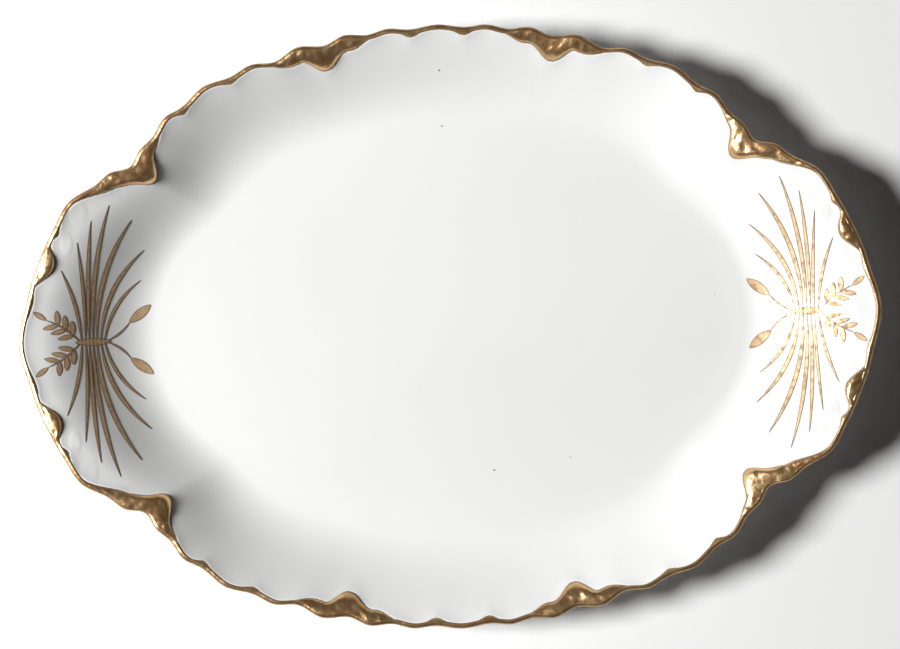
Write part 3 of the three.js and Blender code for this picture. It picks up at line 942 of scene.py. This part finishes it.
def brushed_gold():
    gold = Finish(bpy.data.materials.new("brushed_gold"), Specular_IOR_Level=0.25)
    dry = gold.noise(DRYING_PER_METRE, 4).between(0.42, 0.7)
    stroke = gold.mix(dry, BRUSH_GOLD, DRY_GOLD)
    gold.feed(
        Base_Color=gold.mix(gold_edge(gold, BROWN_LINE_MM), stroke, BROWN_LINE),
        Metallic=0.35 - 0.15 * dry,
        Roughness=0.5 + 0.16 * dry,
        Normal=gold.bump(gold.noise(BRUSH_GRAIN_PER_METRE, 3), 0.25, BRUSH_GRAIN_HEIGHT),
    )
    return gold


brushed_gold().put_on(*sprays)
print("brushed gold on", len(sprays), "sprays")

# %% [markdown]
# ## Floor
#
# The platter lies on a plain pale floor, whose two greys differ so little that it reads as paper.
# A backdrop that curves up behind would suit a low camera, but from above a plane does as well.

# %% Floor
FLOOR_SIZE = 8
FLOOR_GREY, FLOOR_PALE, FLOOR_DRIFT_PER_METRE = (0.86, 0.86, 0.86, 1), (0.88, 0.88, 0.88, 1), 3

bpy.ops.object.select_all(action="DESELECT")
bpy.ops.mesh.primitive_plane_add(size=FLOOR_SIZE)
floor = bpy.context.object
floor.name = "floor"
paper = Finish(bpy.data.materials.new("pale_floor"), Roughness=0.8)
paper.feed(Base_Color=paper.mix(paper.noise(FLOOR_DRIFT_PER_METRE, 2), FLOOR_GREY, FLOOR_PALE))
paper.put_on(floor)
print("floor of", FLOOR_SIZE, "m")

# %% [markdown]
# ## Light
#
# One soft lamp stands low on the left, so the left wall falls into shade and the right wall shines.
# A faint warm glow overhead gives the gold something to mirror. The room around hardly lights anything,
# but the eye sees it as pale. A lit dome all round would be simpler, but it would wash out both the
# shade and the cast shadow.

# %% Light
LAMP_PLACE, LAMP_SIZE, LAMP_WATTS, LAMP_COLOUR = (-2.25, 0.08, 1.95), 0.85, 144, (1, 1, 1)
GLOW_PLACE, GLOW_SIZE, GLOW_WATTS, GLOW_COLOUR = (0.7, 0, 2.1), 1.1, 0.4, (1, 0.76, 0.52)
ROOM_LIGHT, SEEN_LIGHT, MIRRORED_LIGHT, ROOM_COLOUR = 0.018, 0.9, 0.04, (1, 0.91, 0.83, 1)


def put_lamp(place, size, watts, colour):
    """A round soft lamp that points at the platter."""
    bpy.ops.object.light_add(type="AREA", location=place)
    lamp = bpy.context.object
    lamp.data.shape = "DISK"
    lamp.data.size = size
    lamp.data.energy = watts
    lamp.data.color = colour
    lamp.rotation_euler = (-lamp.location).to_track_quat("-Z", "Y").to_euler()


put_lamp(LAMP_PLACE, LAMP_SIZE, LAMP_WATTS, LAMP_COLOUR)
put_lamp(GLOW_PLACE, GLOW_SIZE, GLOW_WATTS, GLOW_COLOUR)

scene = bpy.context.scene
scene.world = bpy.data.worlds.new("room")
room = Finish(scene.world, "Background", Color=ROOM_COLOUR)
seen, mirrored = (room.node("ShaderNodeLightPath", out=ray) for ray in ("Is Camera Ray", "Is Glossy Ray"))
room.feed(Strength=ROOM_LIGHT + SEEN_LIGHT * seen + MIRRORED_LIGHT * mirrored)
scene.view_settings.view_transform = "Standard"
print("lamp of", LAMP_WATTS, "W and glow of", GLOW_WATTS, "W")

# %% [markdown]
# ## Camera
#
# The platter is seen from straight above, turned by a few degrees. A long lens keeps its walls from
# leaning outward in the picture. The camera stands where the rim fills its share of the width.

# %% Camera
CAMERA_LENS, CAMERA_SENSOR = 100, 36
VIEW_TURN, VIEW_SHIFT = math.radians(-2.5), 0.9 * MM
PICTURE_PIXELS, PLATTER_PIXELS = 900, 864
FRAME_WIDTH = LENGTH * PICTURE_PIXELS / PLATTER_PIXELS
RIM_PLANE = 34 * MM

distance = FRAME_WIDTH * CAMERA_LENS / CAMERA_SENSOR
bpy.ops.object.camera_add(location=(0, VIEW_SHIFT, RIM_PLANE + distance), rotation=(0, 0, VIEW_TURN))
camera = bpy.context.object
camera.data.lens = CAMERA_LENS
camera.data.sensor_width = CAMERA_SENSOR
scene.camera = camera
print("camera above the rim by", round(distance, 3), "m")
